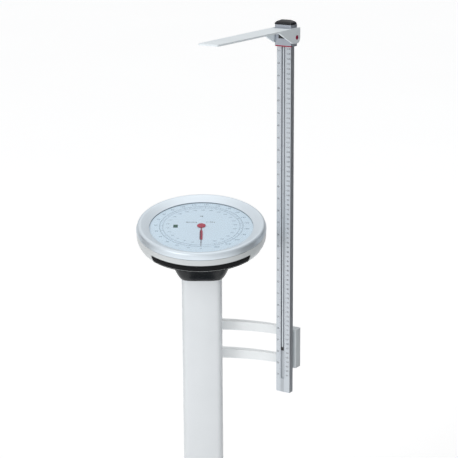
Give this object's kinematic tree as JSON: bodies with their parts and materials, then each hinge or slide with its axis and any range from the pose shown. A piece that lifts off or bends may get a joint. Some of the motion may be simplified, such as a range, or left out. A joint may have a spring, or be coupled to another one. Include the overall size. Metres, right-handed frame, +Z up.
{
  "type": "dial column scale",
  "caption": "Upright personal weighing scale: low platform, bowed-oval column, tilted round dial head, and a telescopic height rod with a folding measuring arm.",
  "frame": {"origin": "middle of the bounding box's floor, level with the underside of the rubber feet", "axes": "+Z up; the user stands on the platform on the -Y side and the column stands behind it; +X is to the right of a viewer in front"},
  "size_m": [0.3744, 0.5334, 1.4153],
  "materials": {
    "white_paint": "satin white paint",
    "silver_paint": "satin silver-grey paint",
    "bare_steel": "plain steel",
    "spring_steel": "spring steel",
    "bezel_metal": "brushed",
    "rod_metal": "anodised, satin",
    "brass": "satin",
    "rubber": "matte",
    "black_gloss": "glossy black",
    "black_plastic": "matte black",
    "grey_plastic": "matte grey",
    "white_plastic": "smooth white",
    "red_plastic": "red",
    "red_paint": "red paint",
    "dial_print": "pale blue printed dial",
    "glass": "clear"
  },
  "bodies": {
    "base": {"base_tray": "white_paint", "rubber_feet": "rubber", "rear_housing": "white_paint", "column_foot": "bare_steel", "foot_bolts": "bare_steel", "fulcrum_stands": "bare_steel", "roller_brackets": "bare_steel", "column_tube": "white_paint", "base_collar": "black_plastic", "neck": "black_gloss", "head_casing": "silver_paint", "grip_band": "black_plastic", "bezel_ring": "bezel_metal", "glass_gasket": "grey_plastic", "dial_glass": "glass", "dial_plate": "dial_print", "movement_lower_plate": "brass", "movement_upper_plate": "brass", "movement_pillars": "brass", "rack_guide": "brass", "crank_bracket": "bare_steel", "spring_hanger": "bare_steel", "main_spring": "spring_steel", "upper_bracket_arm": "white_paint", "lower_bracket_arm": "white_paint", "arm_screws": "bare_steel", "bracket_box": "white_paint", "rod_spacer": "rod_metal", "rod_screws": "bare_steel", "rod_profile": "rod_metal", "rod_end_plug": "grey_plastic"},
    "platform": {"platform_cover": "white_paint", "platform_mat": "rubber", "platform_frame": "bare_steel"},
    "main_lever": {"main_lever": "bare_steel", "main_lever_pins": "bare_steel"},
    "transfer_lever": {"transfer_lever": "bare_steel", "transfer_lever_pins": "bare_steel"},
    "draw_rod": {"draw_rod": "bare_steel", "draw_rod_lower_yoke": "bare_steel", "draw_rod_upper_yoke": "bare_steel", "spring_seat": "bare_steel"},
    "bell_crank": {"bell_crank": "bare_steel", "bell_crank_pins": "bare_steel"},
    "rack": {"rack": "brass"},
    "pointer": {"pinion": "brass", "pointer": "red_paint", "pointer_hub": "red_plastic"},
    "zero_knob": {"zero_knob": "black_plastic"},
    "extension": {"inner_bar": "rod_metal", "bar_glide": "black_plastic", "bar_cap": "black_gloss"},
    "head_slide": {"head_sleeve": "rod_metal", "brake_pad": "black_plastic", "reading_line": "red_plastic", "pivot_buttons": "red_plastic"},
    "head_arm": {"head_arm": "white_plastic"},
    "roller_left": {"roller_left": "rubber"},
    "roller_right": {"roller_right": "rubber"}
  },
  "joints": [
    {"name": "platform_press", "type": "slide", "parent": "base", "child": "platform", "axis": [0, 0, -1], "range_m": [0, 0.0015], "stiffness_N_per_m": 1440000, "springref_m": -0.0001},
    {"name": "main_lever_turn", "type": "hinge", "parent": "base", "child": "main_lever", "pos_m": [-0.01971, -0.2417, 0.05], "axis": [1, 0, 0], "range_deg": [-2.87, 0]},
    {"name": "transfer_lever_turn", "type": "hinge", "parent": "base", "child": "transfer_lever", "pos_m": [-0.01971, 0.0533, 0.05], "axis": [1, 0, 0], "range_deg": [0, 2.87]},
    {"name": "draw_rod_slide", "type": "slide", "parent": "base", "child": "draw_rod", "axis": [0, 0, -1], "range_m": [0, 0.01781], "deforming": ["main_spring"]},
    {"name": "bell_crank_turn", "type": "hinge", "parent": "base", "child": "bell_crank", "pos_m": [-0.01971, 0.1503, 0.93312], "axis": [1, 0, 0], "range_deg": [0, 28.34]},
    {"name": "rack_slide", "type": "slide", "parent": "base", "child": "rack", "axis": [0, -0.9711, -0.2385], "range_m": [0, 0.01781]},
    {"name": "pointer_turn", "type": "hinge", "parent": "base", "child": "pointer", "pos_m": [-0.01971, 0.13568, 0.9804], "axis": [0, -0.2385, 0.9711], "range_deg": [-340, 0]},
    {"name": "zero_knob_turn", "type": "hinge", "parent": "base", "child": "zero_knob", "pos_m": [-0.01971, 0.22374, 0.96146], "axis": [0, -0.2385, 0.9711], "range_deg": [-180, 180]},
    {"name": "extension_slide", "type": "slide", "parent": "base", "child": "extension", "axis": [0, 0, 1], "range_m": [0, 0.6]},
    {"name": "head_slide_slide", "type": "slide", "parent": "extension", "child": "head_slide", "axis": [0, 0, 1], "range_m": [-0.7046, 0]},
    {"name": "head_arm_turn", "type": "hinge", "parent": "head_slide", "child": "head_arm", "pos_m": [0.1551, 0.09533, 1.3807], "axis": [0.8387, -0.5446, 0], "range_deg": [0, 90]},
    {"name": "roller_left_spin", "type": "hinge", "parent": "base", "child": "roller_left", "pos_m": [-0.13471, 0.2083, 0.024], "axis": [1, 0, 0], "continuous": true},
    {"name": "roller_right_spin", "type": "hinge", "parent": "base", "child": "roller_right", "pos_m": [0.09529, 0.2083, 0.024], "axis": [1, 0, 0], "continuous": true}
  ],
  "couplings": [
    {"joint": "main_lever_turn", "follows": "platform_press", "rad_per_m": -33.333},
    {"joint": "transfer_lever_turn", "follows": "platform_press", "rad_per_m": 33.333},
    {"joint": "draw_rod_slide", "follows": "platform_press", "ratio": 11.867},
    {"joint": "bell_crank_turn", "follows": "platform_press", "rad_per_m": 329.63},
    {"joint": "rack_slide", "follows": "platform_press", "ratio": 11.867},
    {"joint": "pointer_turn", "follows": "platform_press", "rad_per_m": -3955.6}
  ]
}
